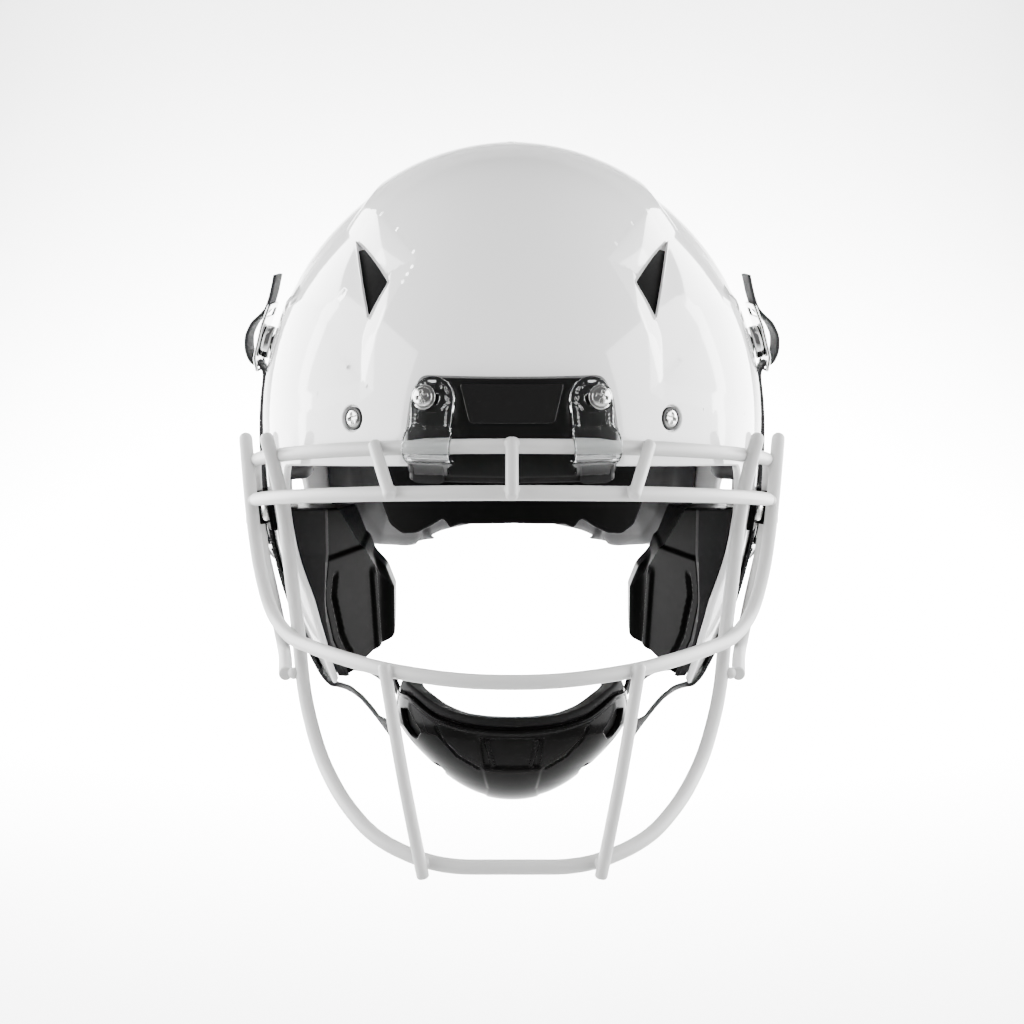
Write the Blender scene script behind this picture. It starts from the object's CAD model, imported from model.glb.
import itertools
import math

import bpy
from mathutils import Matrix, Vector
import numpy as np
from mathutils.geometry import delaunay_2d_cdt


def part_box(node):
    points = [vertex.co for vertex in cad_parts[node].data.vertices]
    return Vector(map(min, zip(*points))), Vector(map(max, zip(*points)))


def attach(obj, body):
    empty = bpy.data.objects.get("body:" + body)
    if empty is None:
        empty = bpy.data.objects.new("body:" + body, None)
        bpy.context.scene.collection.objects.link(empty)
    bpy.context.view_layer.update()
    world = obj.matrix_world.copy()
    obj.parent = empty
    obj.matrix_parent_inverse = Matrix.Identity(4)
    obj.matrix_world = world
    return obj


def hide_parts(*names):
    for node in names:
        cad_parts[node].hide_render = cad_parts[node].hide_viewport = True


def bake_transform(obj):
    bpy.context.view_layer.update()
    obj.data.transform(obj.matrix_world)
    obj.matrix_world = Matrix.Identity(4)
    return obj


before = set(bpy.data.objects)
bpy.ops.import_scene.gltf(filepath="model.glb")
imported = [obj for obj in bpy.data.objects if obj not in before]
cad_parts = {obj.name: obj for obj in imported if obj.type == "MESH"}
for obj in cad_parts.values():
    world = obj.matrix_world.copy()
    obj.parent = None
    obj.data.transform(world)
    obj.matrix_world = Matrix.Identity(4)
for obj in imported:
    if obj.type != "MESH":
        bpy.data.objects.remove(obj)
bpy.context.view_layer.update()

# Every length below is in millimetres; MM turns it into the frame's metres.
MM = 0.001

# ---- values taken from the CAD frame
shell_low, shell_high = [np.array(corner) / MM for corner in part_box("shell")]
HALF, FRONT, REAR = shell_high[0], -shell_low[1], shell_high[1]
LEVEL = 45.0                                # height of the widest level of the head form
CROWN = shell_high[2] - LEVEL
SKIRT = 190.0
WALL = 3.6                                  # shell with its rolled edge
FIT = -4.0                                  # outer face of the pads, measured from the shell's face
WIRE_R = 3.1
STRUT_R = 2.6
STRAP = 19.0                                # width of the webbing
SMALL_STEP = 0.04                           # step of the slopes taken on the flat maps


# ---- small geometry helpers
def unit(v):
    """Directions of unit length."""
    return v / np.maximum(np.linalg.norm(v, axis=-1, keepdims=True), 1e-12)


def ease(t):
    """Smooth step from 0 to 1."""
    t = np.clip(t, 0.0, 1.0)
    return t * t * (3 - 2 * t)


def soft_ramp(t, k=0.12):
    """Straight ramp from 0 to 1 whose two corners are rounded."""
    start = (t + k) ** 2 / (4 * k)
    end = 1 - (1 - t + k) ** 2 / (4 * k)
    middle = np.where(t < 1 - k, t, end)
    return np.where(t < -k, 0.0, np.where(t < k, start, np.where(t > 1 + k, 1.0, middle)))


def run_along(points):
    """Distance along a path at each of its points."""
    return np.concatenate([[0], np.cumsum(np.linalg.norm(np.diff(points, axis=0), axis=1))])


def turn_angles(count):
    return np.linspace(0, 2 * math.pi, count, endpoint=False)


def resample(points, step, closed=True):
    """Path or loop with points at even steps."""
    points = np.asarray(points, float)
    if closed:
        points = np.vstack([points, points[:1]])
    run = run_along(points)
    count = max(3, int(round(run[-1] / step)))
    where = np.linspace(0, run[-1], count + 1)
    if closed:
        where = where[:-1]
    return np.stack([np.interp(where, run, points[:, k]) for k in range(points.shape[1])], 1)


def bell(reach, step, width):
    """Weights of a bell curve of a width, at whole steps out to a reach on both sides."""
    weights = np.exp(-0.5 * (np.arange(-reach, reach + 1) * step / width) ** 2)
    return weights / weights.sum()


def soften(points, step, width):
    """Closed loop resampled at a step, its corners rounded off by averaging over a width."""
    loop = resample(points, step)
    reach = int(2 * width / step)
    out = np.zeros_like(loop)
    for shift, weight in zip(range(-reach, reach + 1), bell(reach, step, width)):
        out += weight * np.roll(loop, shift, axis=0)
    return out


def both_sides(half):
    """Closed outline from its right half."""
    half = np.asarray(half, float)
    return np.vstack([half, half[1:-1][::-1] * [-1, 1]])


def in_loops(points, loops):
    """Even-odd test of points against closed loops."""
    inside = np.zeros(len(points), bool)
    for loop in loops:
        a, b = loop, np.roll(loop, -1, axis=0)
        for first in range(0, len(points), 4000):
            p = points[first:first + 4000]
            crosses = (a[None, :, 1] > p[:, None, 1]) != (b[None, :, 1] > p[:, None, 1])
            rise = np.where(b[:, 1] == a[:, 1], 1e-12, b[:, 1] - a[:, 1])
            x = a[None, :, 0] + (p[:, None, 1] - a[None, :, 1]) * ((b - a)[:, 0] / rise)[None, :]
            inside[first:first + 4000] ^= (np.sum(crosses & (p[:, None, 0] < x), axis=1) % 2) == 1
    return inside


def to_segments(points, a, b):
    """Distance from points to the nearest of several segments, its index, and the share along it."""
    best = np.full(len(points), 1e9)
    index = np.zeros(len(points), int)
    share = np.zeros(len(points))
    for k in range(len(a)):
        d = b[k] - a[k]
        t = np.clip(((points - a[k]) @ d) / max(d @ d, 1e-12), 0, 1)
        gap = np.linalg.norm(points - (a[k] + t[:, None] * d), axis=1)
        nearer = gap < best
        best[nearer], index[nearer], share[nearer] = gap[nearer], k, t[nearer]
    return best, index, share


def edge_distance(points, loops):
    """Distance from points to the nearest of several loops."""
    gaps = [to_segments(points, loop, np.roll(loop, -1, axis=0))[0] for loop in loops]
    return np.min(gaps, axis=0)


def value(f, p):
    """Height at flat points, whether it is a number or a function."""
    return np.asarray(f(p), float) if callable(f) else np.full(len(p), float(f))


def normals_of(to3d, f, p):
    """Points of the surface at height f, their normals and the two tangents per unit of the flat map."""
    here = to3d(p, value(f, p))
    slopes = []
    for shift in ([SMALL_STEP, 0], [0, SMALL_STEP]):
        ahead, behind = p + shift, p - shift
        slopes.append((to3d(ahead, value(f, ahead)) - to3d(behind, value(f, behind))) / (2 * SMALL_STEP))
    du, dv = slopes
    up = to3d(p, value(f, p) + 0.1) - here
    normal = unit(np.cross(du, dv))
    normal *= np.sign(np.sum(normal * up, axis=1))[:, None]
    return here, normal, du, dv


def inset(to3d, f, loop, amount):
    """Flat points that lie a real distance inside a loop, with the outward directions in space."""
    here, normal, du, dv = normals_of(to3d, f, loop)
    along = unit(np.roll(here, -1, axis=0) - np.roll(here, 1, axis=0))
    out = unit(np.cross(along, normal))
    flat = np.roll(loop, -1, axis=0) - np.roll(loop, 1, axis=0)
    away = np.stack([flat[:, 1], -flat[:, 0]], 1)
    out *= np.sign(np.sum(out * (du * away[:, :1] + dv * away[:, 1:]), axis=1))[:, None]
    a, b, c = np.sum(du * du, 1), np.sum(du * dv, 1), np.sum(dv * dv, 1)
    r, s = np.sum(du * out, 1), np.sum(dv * out, 1)
    det = a * c - b * b
    step = np.stack([(c * r - b * s) / det, (a * s - b * r) / det], 1)
    return loop - step * amount, out


def oriented(loops):
    """The first loop anticlockwise, the holes clockwise."""
    result = []
    for k, loop in enumerate(loops):
        area = np.sum(loop[:, 0] * np.roll(loop[:, 1], -1) - np.roll(loop[:, 0], -1) * loop[:, 1])
        result.append(loop if (area > 0) == (k == 0) else loop[::-1])
    return result


def hex_grid(low, high, step):
    """Points of a staggered grid over a rectangle."""
    us = np.arange(low[0], high[0], step)
    vs = np.arange(low[1], high[1], step * 0.866)
    uu, vv = np.meshgrid(us, vs)
    uu[1::2] += step / 2
    return np.stack([uu.ravel(), vv.ravel()], 1)


def fill(loops, step, fine=None):
    """Triangles over the region between loops. Returns flat points, triangles and the loops' indices.
    fine is (step, test): a closer grid where the test of flat points holds."""
    every = np.vstack(loops)
    low, high = every.min(0), every.max(0)
    clouds = [(hex_grid(low, high, step), step)]
    if fine is not None:
        close = hex_grid(low, high, fine[0])
        clouds = [(clouds[0][0][~fine[1](clouds[0][0])], step), (close[fine[1](close)], fine[0])]
    kept = []
    for cloud, spacing in clouds:
        cloud = cloud[in_loops(cloud, loops)]
        if len(cloud):
            kept.append(cloud[edge_distance(cloud, loops) > 0.55 * spacing])
    inner = np.vstack(kept) if kept else np.zeros((0, 2))
    points = np.vstack([every, inner])
    edges, first = [], 0
    for loop in loops:
        n = len(loop)
        edges += [(first + i, first + (i + 1) % n) for i in range(n)]
        first += n
    made = delaunay_2d_cdt([tuple(p) for p in points], edges, [], 0, 1e-6, True)
    verts = np.array([tuple(v) for v in made[0]])
    back = {}
    for new, olds in enumerate(made[3]):
        for old in olds:
            back.setdefault(old, new)
    tris = np.array([f for f in made[2] if len(f) == 3])
    tris = tris[in_loops(verts[tris].mean(1), loops)]
    a, b, c = verts[tris[:, 0]], verts[tris[:, 1]], verts[tris[:, 2]]
    area = (b - a)[:, 0] * (c - a)[:, 1] - (b - a)[:, 1] * (c - a)[:, 0]
    tris = tris[np.abs(area) > 1e-9]
    rings, first = [], 0
    for loop in loops:
        rings.append([back[first + i] for i in range(len(loop))])
        first += len(loop)
    return verts, tris, rings


class Body:
    """Vertices, normals and faces gathered for one object."""

    def __init__(self):
        self.v, self.n, self.f, self.uv = [], [], [], []
        self.count = 0

    def add(self, v, n, uv=None):
        v = np.asarray(v, float)
        self.v.append(v)
        self.n.append(np.asarray(n, float))
        self.uv.append(np.zeros((len(v), 2)) if uv is None else np.asarray(uv, float))
        self.count += len(v)
        return self.count - len(v)

    def strip(self, one, two, closed=True):
        n = len(one)
        for i in range(n if closed else n - 1):
            j = (i + 1) % n
            self.f.append((one[i], one[j], two[j], two[i]))

    def skin(self, rows):
        """Strips from each closed row to the next."""
        for one, two in zip(rows, rows[1:]):
            self.strip(one, two)

    def join(self, other, flip=False):
        start = self.count
        sign = np.array([-1.0, 1, 1]) if flip else np.ones(3)
        self.add(np.vstack(other.v) * sign, np.vstack(other.n) * sign, np.vstack(other.uv))
        for f in other.f:
            self.f.append(tuple(start + i for i in (f[::-1] if flip else f)))
        return self

    def mirrored(self):
        return Body().join(self, True)


def slab(loops, to3d, top, base, r_top, r_base, step, fine=None, pits=()):
    """Closed piece between two heights over a flat region, with its edges rounded.
    pits are (loop, depth, radius of the rounded edge): blind holes in the top face."""
    body = Body()
    loops = oriented(loops)
    sunk = [oriented([loops[0], p[0]])[1] for p in pits]
    rims = []
    for height, radius, up in ((top, r_top, 1), (base, r_base, -1)):
        cuts = [(loop, radius) for loop in loops]
        if up > 0:
            cuts += [(loop, p[2]) for loop, p in zip(sunk, pits)]
        inner, outs = [], []
        for loop, r in cuts:
            moved, out = inset(to3d, height, loop, r)
            inner.append(moved)
            outs.append(out)
        flat, tris, rings = fill(inner, step, fine if up > 0 else None)
        points, normal, _, _ = normals_of(to3d, height, flat)
        start = body.add(points, normal * up, flat)
        a, b, c = points[tris[:, 0]], points[tris[:, 1]], points[tris[:, 2]]
        facing = np.sum(np.cross(b - a, c - a) * normal[tris[:, 0]] * up, axis=1) > 0
        for tri, good in zip(tris, facing):
            body.f.append(tuple(start + i for i in (tri if good else tri[::-1])))
        rim = []
        for ring, out, (loop, r) in zip(rings, outs, cuts):
            edge, edge_normal = points[ring], normal[ring]
            row = [start + i for i in ring]
            for angle in (math.pi / 8, math.pi / 4, 3 * math.pi / 8, math.pi / 2):
                s, c = math.sin(angle), math.cos(angle)
                place = edge + out * r * s - up * edge_normal * r * (1 - c)
                first = body.add(place, unit(out * s + up * edge_normal * c), loop)
                following = [first + i for i in range(len(ring))]
                body.strip(*((following, row) if up > 0 else (row, following)))
                row = following
            rim.append((row, place, edge_normal, out))
        rims.append(rim)
    count = len(loops)
    for upper, lower in zip(rims[0][:count], rims[1]):
        body.strip(lower[0], upper[0])
    for (row, place, normal, out), (_, depth, r) in zip(rims[0][count:], pits):
        lower = place - normal * (depth - r)
        first = body.add(lower, out)
        foot = [first + i for i in range(len(row))]
        body.strip(foot, row)
        floor = body.add(lower, normal)
        middle = body.add([lower.mean(0)], [unit(normal.mean(0))])
        for i in range(len(row)):
            body.f.append((floor + i, floor + (i + 1) % len(row), middle)[::-1])
    return body


def transport(points):
    """Tangents and a steady side direction along a path."""
    tangent = unit(np.gradient(points, axis=0))
    side = np.zeros_like(points)
    guess = np.array([0.0, 0.0, 1.0])
    if abs(guess @ tangent[0]) > 0.95:
        guess = np.array([1.0, 0.0, 0.0])
    for i, t in enumerate(tangent):
        guess = guess - t * (guess @ t)
        guess = guess / np.linalg.norm(guess)
        side[i] = guess
    return tangent, side, np.cross(tangent, side)


def tube(points, radius, blunt=0.0, sides=28):
    """Round rod along a path; its ends are domes, or flats with a rounded edge."""
    points = np.asarray(points, float)
    tangent, side, other = transport(points)
    angle = turn_angles(sides)
    body = Body()
    rows = []

    def ring(centre, k, r, lean):
        spoke = np.outer(np.cos(angle), side[k]) + np.outer(np.sin(angle), other[k])
        normal = unit(spoke * math.sqrt(max(0.0, 1 - lean * lean)) + tangent[k] * lean)
        first = body.add(centre + spoke * r, normal)
        rows.append([first + i for i in range(sides)])

    round_r = blunt if blunt else radius
    steps = [math.pi / 2 * s / 6 for s in range(6, 0, -1)]
    for a in steps:
        ring(points[0] - tangent[0] * round_r * (math.sin(a) - 1), 0,
             radius - round_r * (1 - math.cos(a)), -math.sin(a))
    inner = [k for k in range(len(points)) if np.linalg.norm(points[k] - points[0]) > round_r
             and np.linalg.norm(points[k] - points[-1]) > round_r]
    for k in inner:
        ring(points[k], k, radius, 0.0)
    last = len(points) - 1
    for a in reversed(steps):
        ring(points[last] + tangent[last] * round_r * (math.sin(a) - 1), last,
             radius - round_r * (1 - math.cos(a)), math.sin(a))
    body.skin(rows)
    for row, k, sign in ((rows[0], 0, -1), (rows[-1], last, 1)):
        tip = body.add([points[k]], [tangent[k] * sign])
        for i in range(sides):
            j = (i + 1) % sides
            body.f.append((row[j], row[i], tip) if sign < 0 else (row[i], row[j], tip))
    return body


def arcs(points, step=2.0):
    """Path with straight runs joined by the arcs of the CAD wires."""
    points = [np.array(p, float) for p in points]
    path = [points[0]]
    for before, corner, after in zip(points, points[1:], points[2:]):
        arrive, leave = corner - before, after - corner
        t = 0.45 * min(np.linalg.norm(arrive), np.linalg.norm(leave))
        one, two = corner - unit(arrive) * t, corner + unit(leave) * t
        for s in np.linspace(0, 1, 9):
            path.append(one * (1 - s) ** 2 + corner * 2 * s * (1 - s) + two * s * s)
    path.append(points[-1])
    return resample(np.array(path), step, closed=False)


def lathe(origin, axis, profile, sides=48):
    """Turned piece. The profile is (radius, height) pairs; doubled points make sharp edges."""
    u = unit(np.cross([0.0, 0.0, 1.0], axis))
    w = np.cross(axis, u)
    angle = turn_angles(sides)
    spoke = np.outer(np.cos(angle), u) + np.outer(np.sin(angle), w)
    body = Body()
    rows = []
    profile = np.array(profile, float)
    slopes = np.diff(profile, axis=0)
    for k, (r, h) in enumerate(profile):
        around = [s for s in (slopes[k - 1] if k else None, slopes[k] if k < len(slopes) else None)
                  if s is not None and np.linalg.norm(s) > 1e-6]
        lean = unit(np.sum([unit(s) for s in around], axis=0))
        normal = unit(spoke * lean[1] - axis * lean[0])
        first = body.add(origin + spoke * max(r, 1e-4) + axis * h, normal)
        rows.append([first + i for i in range(sides)])
    for k, (one, two) in enumerate(zip(rows, rows[1:])):
        if np.linalg.norm(slopes[k]) > 1e-6:
            body.strip(one, two)
    return body


def ribbon(points, widths, width, thick):
    """Flat band along a path. Each width direction lies across it; uv is (along, across)."""
    tangent = unit(np.gradient(points, axis=0))
    across = unit(widths - tangent * np.sum(widths * tangent, axis=1)[:, None])
    face = np.cross(tangent, across)
    r = thick / 2
    half = width / 2
    section, lean = [], []
    for sign, turn in ((1, 0), (-1, math.pi)):
        for a in np.linspace(-math.pi / 2, math.pi / 2, 7):
            section.append((sign * (half - r) + r * math.cos(a + turn), r * math.sin(a + turn)))
            lean.append((math.cos(a + turn), math.sin(a + turn)))
        for s in np.linspace(0, 1, 7)[1:-1]:
            section.append((sign * (half - r) * (1 - 2 * s), sign * r))
            lean.append((0.0, float(sign)))
    run = run_along(points)
    body = Body()
    rows = []
    for k in range(len(points)):
        place = [points[k] + across[k] * a + face[k] * b for a, b in section]
        normal = [across[k] * a + face[k] * b for a, b in lean]
        uv = [(run[k], a) for a, b in section]
        first = body.add(place, normal, uv)
        rows.append([first + i for i in range(len(section))])
    body.skin(rows)
    for row, sign in ((rows[0], -1), (rows[-1], 1)):
        body.f.append(tuple(row) if sign > 0 else tuple(reversed(row)))
    return body


def outward(v, n, faces):
    """Faces turned so that each looks the way its corners' normals do."""
    turned = []
    for size in (3, 4):
        group = np.array([f for f in faces if len(f) == size], int).reshape(-1, size)
        if len(group):
            facing = np.cross(v[group[:, 2]] - v[group[:, 0]], v[group[:, size - 1]] - v[group[:, 1]]
                              if size == 4 else v[group[:, 2]] - v[group[:, 1]])
            good = np.sum(facing * n[group].sum(1), axis=1) >= 0
            turned += np.where(good[:, None], group, group[:, ::-1]).tolist()
    return turned + [list(f) for f in faces if len(f) > 4]


def emit(name, body, material, rides, stands_for=(), slot=None, fill_level=None):
    """Turns gathered geometry into an object of the scene."""
    v, n, uv = np.vstack(body.v), np.vstack(body.n), np.vstack(body.uv)
    mesh = bpy.data.meshes.new(name)
    mesh.from_pydata((v * MM).tolist(), [], outward(v, n, body.f))
    mesh.polygons.foreach_set("use_smooth", [True] * len(mesh.polygons))
    layer = mesh.uv_layers.new(name="flat")
    index = np.zeros(len(mesh.loops), int)
    mesh.loops.foreach_get("vertex_index", index)
    layer.data.foreach_set("uv", (uv[index] * MM).ravel())
    mesh.update()
    mesh.validate()
    mesh.normals_split_custom_set_from_vertices(n.tolist())
    mesh.materials.append(material)
    obj = bpy.data.objects.new(name, mesh)
    bpy.context.scene.collection.objects.link(obj)
    if isinstance(rides, tuple):
        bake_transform(obj)
    else:
        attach(obj, rides)
    if stands_for:
        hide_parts(*stands_for)
    return obj


def emit_pair(name, body, material, rides, stands_for=(), **more):
    """The piece on the wearer's right and its mirror image on the left."""
    made = []
    for side, geometry in (("right", body), ("left", body.mirrored())):
        nodes = [f"{n}_{side}" for n in stands_for]
        place = rides
        if isinstance(rides, str) and rides.endswith("_"):
            place = rides + side + "_body"
        if isinstance(rides, tuple):
            a, b, start, end = rides
            flip = -1 if side == "left" else 1
            names = [x + side + "_body" if x.endswith("_") else x for x in (a, b)]
            place = (*names, (start[0] * flip, start[1], start[2]), (end[0] * flip, end[1], end[2]))
        made.append(emit(f"{name}_{side}", geometry, material, place, nodes, **more))
    return made


# ---- materials
def add_bump(material, height, distance):
    """Bump of a distance in mm, from a height socket, on the material's shader."""
    nodes, links = material.node_tree.nodes, material.node_tree.links
    bump = nodes.new("ShaderNodeBump")
    bump.inputs["Strength"].default_value = 1.0
    bump.inputs["Distance"].default_value = distance * MM
    links.new(height, bump.inputs["Height"])
    links.new(bump.outputs["Normal"], nodes["Principled BSDF"].inputs["Normal"])


def add_range(material, value_socket, from_low, to_low, to_high):
    """Socket that turns values from from_low to 1 into values from to_low to to_high."""
    spread = material.node_tree.nodes.new("ShaderNodeMapRange")
    spread.inputs["From Min"].default_value = from_low
    spread.inputs["To Min"].default_value = to_low
    spread.inputs["To Max"].default_value = to_high
    material.node_tree.links.new(value_socket, spread.inputs["Value"])
    return spread.outputs["Result"]


def add_maths(material, operation, first, second=None):
    """Socket of a sum on a socket and a second socket or number."""
    node = material.node_tree.nodes.new("ShaderNodeMath")
    node.operation = operation
    material.node_tree.links.new(first, node.inputs[0])
    if isinstance(second, float):
        node.inputs[1].default_value = second
    elif second:
        material.node_tree.links.new(second, node.inputs[1])
    return node.outputs[0]


def add_weave(material, coords, pitch, color):
    """Ribs along and across webbing, from the length and width that its uv holds."""
    nodes, links = material.node_tree.nodes, material.node_tree.links
    split = nodes.new("ShaderNodeSeparateXYZ")
    links.new(coords.outputs["UV"], split.inputs["Vector"])
    waves = []
    for axis, rib in (("X", pitch), ("Y", pitch * 0.75)):
        scaled = add_maths(material, "MULTIPLY", split.outputs[axis], 2 * math.pi / (rib * MM))
        waves.append(add_maths(material, "SINE", scaled))
    ribs = add_maths(material, "MULTIPLY", *waves)
    add_bump(material, ribs, 0.25)
    tint = nodes.new("ShaderNodeVectorMath")
    tint.operation = "SCALE"
    tint.inputs[0].default_value = color
    links.new(add_range(material, ribs, -1.0, 0.75, 1.15), tint.inputs["Scale"])
    links.new(tint.outputs["Vector"], nodes["Principled BSDF"].inputs["Base Color"])


def finish_of(name, color, rough, grain=None, mottle=0.0, weave=None, **more):
    """Procedural material. grain is (scale per metre, height in mm), mottle a change of roughness,
    weave the rib pitch in mm, and more holds other inputs of the shader by their names."""
    material = bpy.data.materials.new(name)
    material.use_nodes = True
    nodes, links = material.node_tree.nodes, material.node_tree.links
    shader = nodes["Principled BSDF"]
    color = (color,) * 3 if isinstance(color, float) else color
    settings = {"base_color": (*color, 1), "roughness": rough, "coat_roughness": 0.04, "ior": 1.5, **more}
    for socket in shader.inputs:
        key = socket.name.lower().replace(" ", "_")
        if key in settings:
            socket.default_value = settings[key]
    coords = nodes.new("ShaderNodeTexCoord")
    if grain:
        noise = nodes.new("ShaderNodeTexNoise")
        noise.inputs["Scale"].default_value = grain[0]
        noise.inputs["Detail"].default_value = 3.0
        links.new(coords.outputs["Object"], noise.inputs["Vector"])
        add_bump(material, noise.outputs["Fac"], grain[1])
        if mottle:
            rougher = add_range(material, noise.outputs["Fac"], 0.0, rough - mottle, rough + mottle)
            links.new(rougher, shader.inputs["Roughness"])
    if weave:
        add_weave(material, coords, weave, color)
    return material


WHITE = finish_of("white_gloss_plastic", 0.86, 0.1, (9.0, 0.05), coat_weight=1.0)
COATED = finish_of("white_powder_coat", (0.5, 0.5, 0.495), 0.38, (900.0, 0.02), 0.06)
RUBBER = finish_of("satin_black_rubber", 0.003, 0.35, (1500.0, 0.006), 0.08, specular_ior_level=0.3)
BADGE = finish_of("black_gloss_plate", 0.006, 0.16, (40.0, 0.01), coat_weight=0.3)
CLEAR = finish_of("clear_plastic", (0.93, 0.95, 0.95), 0.03, transmission_weight=1.0)
BLACK = finish_of("black_gloss_plastic", 0.003, 0.16, (60.0, 0.01), specular_ior_level=0.07)
STEEL = finish_of("nickel_steel", (0.72, 0.72, 0.71), 0.2, (700.0, 0.01), 0.08, metallic=1.0)
CHROME = finish_of("bright_nickel", 0.82, 0.08, (120.0, 0.01), metallic=1.0)
WEBBING = finish_of("charcoal_webbing", (0.03, 0.03, 0.031), 0.7, weave=1.3, sheen_weight=0.03,
                    specular_ior_level=0.1)
SKIN = finish_of("black_vinyl_skin", 0.0015, 0.35, (500.0, 0.008), 0.08, specular_ior_level=0.01)
COVER = finish_of("dark_matte_cover", (0.014, 0.014, 0.0145), 0.6, (1800.0, 0.01), specular_ior_level=0.1)
FOAM = finish_of("matte_black_foam", 0.004, 0.7, (2500.0, 0.03), specular_ior_level=0.15)
BROW = finish_of("matte_black_skin", 0.002, 0.5, (900.0, 0.01), 0.1, specular_ior_level=0.03)
LINER = finish_of("grey_cushion_skin", (0.06, 0.06, 0.062), 0.5, (800.0, 0.015), 0.1)


# ---- the head form
def depth_axis(y, g=0.0):
    """Half depth of the form on the side of y, grown by g."""
    return np.where(y < 0, FRONT, REAR) + g


def height_axis(z, g=0.0):
    """Half height of the form on the side of z, grown by g."""
    return np.where(z > LEVEL, CROWN, SKIRT) + g


def spread(p, scale):
    """Angle from the pole, and the share that turns flat points of a polar map into directions."""
    rho = np.linalg.norm(p, axis=1) / scale
    safe = np.where(rho < 1e-7, 1.0, rho)
    return rho, np.where(rho < 1e-7, 1.0, np.sin(safe) / safe) / scale


def form_point(n, g):
    """Points of the grown form in the given directions."""
    b = np.where(n[:, 1] < 0, FRONT, REAR) + g
    c = np.where(n[:, 2] > 0, CROWN, SKIRT) + g
    return np.stack([n[:, 0] * (HALF + g), n[:, 1] * b, LEVEL + n[:, 2] * c], 1)


POLE = 130.0                                # millimetres per radian of the flat map seen from the crown


def crown_map(p, g):
    """Flat map of the whole form, spread out from the crown."""
    rho, share = spread(p, POLE)
    return form_point(np.stack([p[:, 0] * share, p[:, 1] * share, np.cos(rho)], 1), g)


def crown_flat(q):
    """Flat place of points near the form."""
    x, y, z = np.asarray(q, float).T
    n = unit(np.stack([x / HALF, y / depth_axis(y), (z - LEVEL) / height_axis(z)], 1))
    rho = np.arccos(np.clip(n[:, 2], -1, 1))
    share = np.where(rho < 1e-7, 1.0, rho / np.maximum(np.sin(rho), 1e-9))
    return n[:, :2] * (share * POLE)[:, None]


ARC = 125.0                                 # millimetres per radian of the map that runs round the sides


def round_map(p, g):
    """Map by run from the front centre towards the wearer's right, and height."""
    phi = p[:, 0] / ARC
    c = height_axis(p[:, 1], g)
    s = np.sqrt(np.clip(1 - ((p[:, 1] - LEVEL) / c) ** 2, 1e-6, 1))
    b = np.where(np.cos(phi) > 0, FRONT, REAR) + g
    return np.stack([-(HALF + g) * s * np.sin(phi), -b * s * np.cos(phi), p[:, 1]], 1)


def round_flat(q, g=0.0):
    """Run and height of points near the form."""
    x, y, z = np.asarray(q, float).T
    return np.stack([ARC * np.arctan2(-x / (HALF + g), -y / depth_axis(y, g)), z], 1)


def front_map(p, g):
    """Map by x and height onto the front of the form."""
    share = 1 - (p[:, 0] / (HALF + g)) ** 2 - ((p[:, 1] - LEVEL) / height_axis(p[:, 1], g)) ** 2
    return np.stack([p[:, 0], -(FRONT + g) * np.sqrt(np.clip(share, 1e-6, 1)), p[:, 1]], 1)


def top_map(p, g):
    """Map by x and y onto the top of the form."""
    share = 1 - (p[:, 0] / (HALF + g)) ** 2 - (p[:, 1] / depth_axis(p[:, 1], g)) ** 2
    return np.stack([p[:, 0], p[:, 1], LEVEL + (CROWN + g) * np.sqrt(np.clip(share, 1e-6, 1))], 1)


def half_width(y, z, g=0.0):
    """Half width of the form at a depth and height."""
    share = 1 - (y / depth_axis(y, g)) ** 2 - ((z - LEVEL) / height_axis(z, g)) ** 2
    return (HALF + g) * np.sqrt(np.clip(share, 0, 1))


def on_side(y, z, g=0.0):
    """Point of the form on the wearer's right."""
    return (-float(half_width(y, z, g)), y, z)


def front_depth(x, z):
    """Depth coordinate of the front of the form."""
    return -FRONT * math.sqrt(1 - (x / HALF) ** 2 - ((z - LEVEL) / height_axis(z)) ** 2)


def rear_point(x, z):
    """Point of the back of the form below its widest level."""
    return (x, REAR * math.sqrt(1 - (x / HALF) ** 2 - ((z - LEVEL) / SKIRT) ** 2), z)


def form_normal(q):
    """Outward direction of the form at a point."""
    x, y, z = q
    return unit(np.array([x / HALF**2, y / depth_axis(y)**2, (z - LEVEL) / height_axis(z)**2]))


# ---- shell
SIDE_LINE = ((-73.0, 33.8), (-66.5, 14.5), (-65.6, -9.0), (-70.0, -31.0), (-63.0, -52.0), (-47.0, -75.0),
             (-26.0, -70.0), (0.0, -62.0), (42.0, -49.0), (88.0, -36.0))


def shell_outline():
    """Edge of the shell: brow, face side, jaw flap, skirt and the arch over the nape."""
    path = []
    for x in np.linspace(0, -(half_width(-73.0, 33.8) - 0.5), 50):
        y = -FRONT
        for _ in range(6):
            z = 48.0 - (y + 170.0) * 14.2 / 97.0
            y = front_depth(x, z)
        path.append((x, y, z))
    side = resample(np.array(SIDE_LINE), 3.0, closed=False)
    path += [on_side(y, z) for y, z in side]
    path += [rear_point(x, -35.0) for x in np.linspace(on_side(*SIDE_LINE[-1])[0] + 2, -47.5, 16)]
    path += [rear_point(x, z) for x, z in ((-46.0, -31.0), (-44.0, -26.0), (-22.0, -26.0), (0.0, -26.0))]
    return soften(both_sides(crown_flat(path)), 1.6, 3.0)


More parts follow.
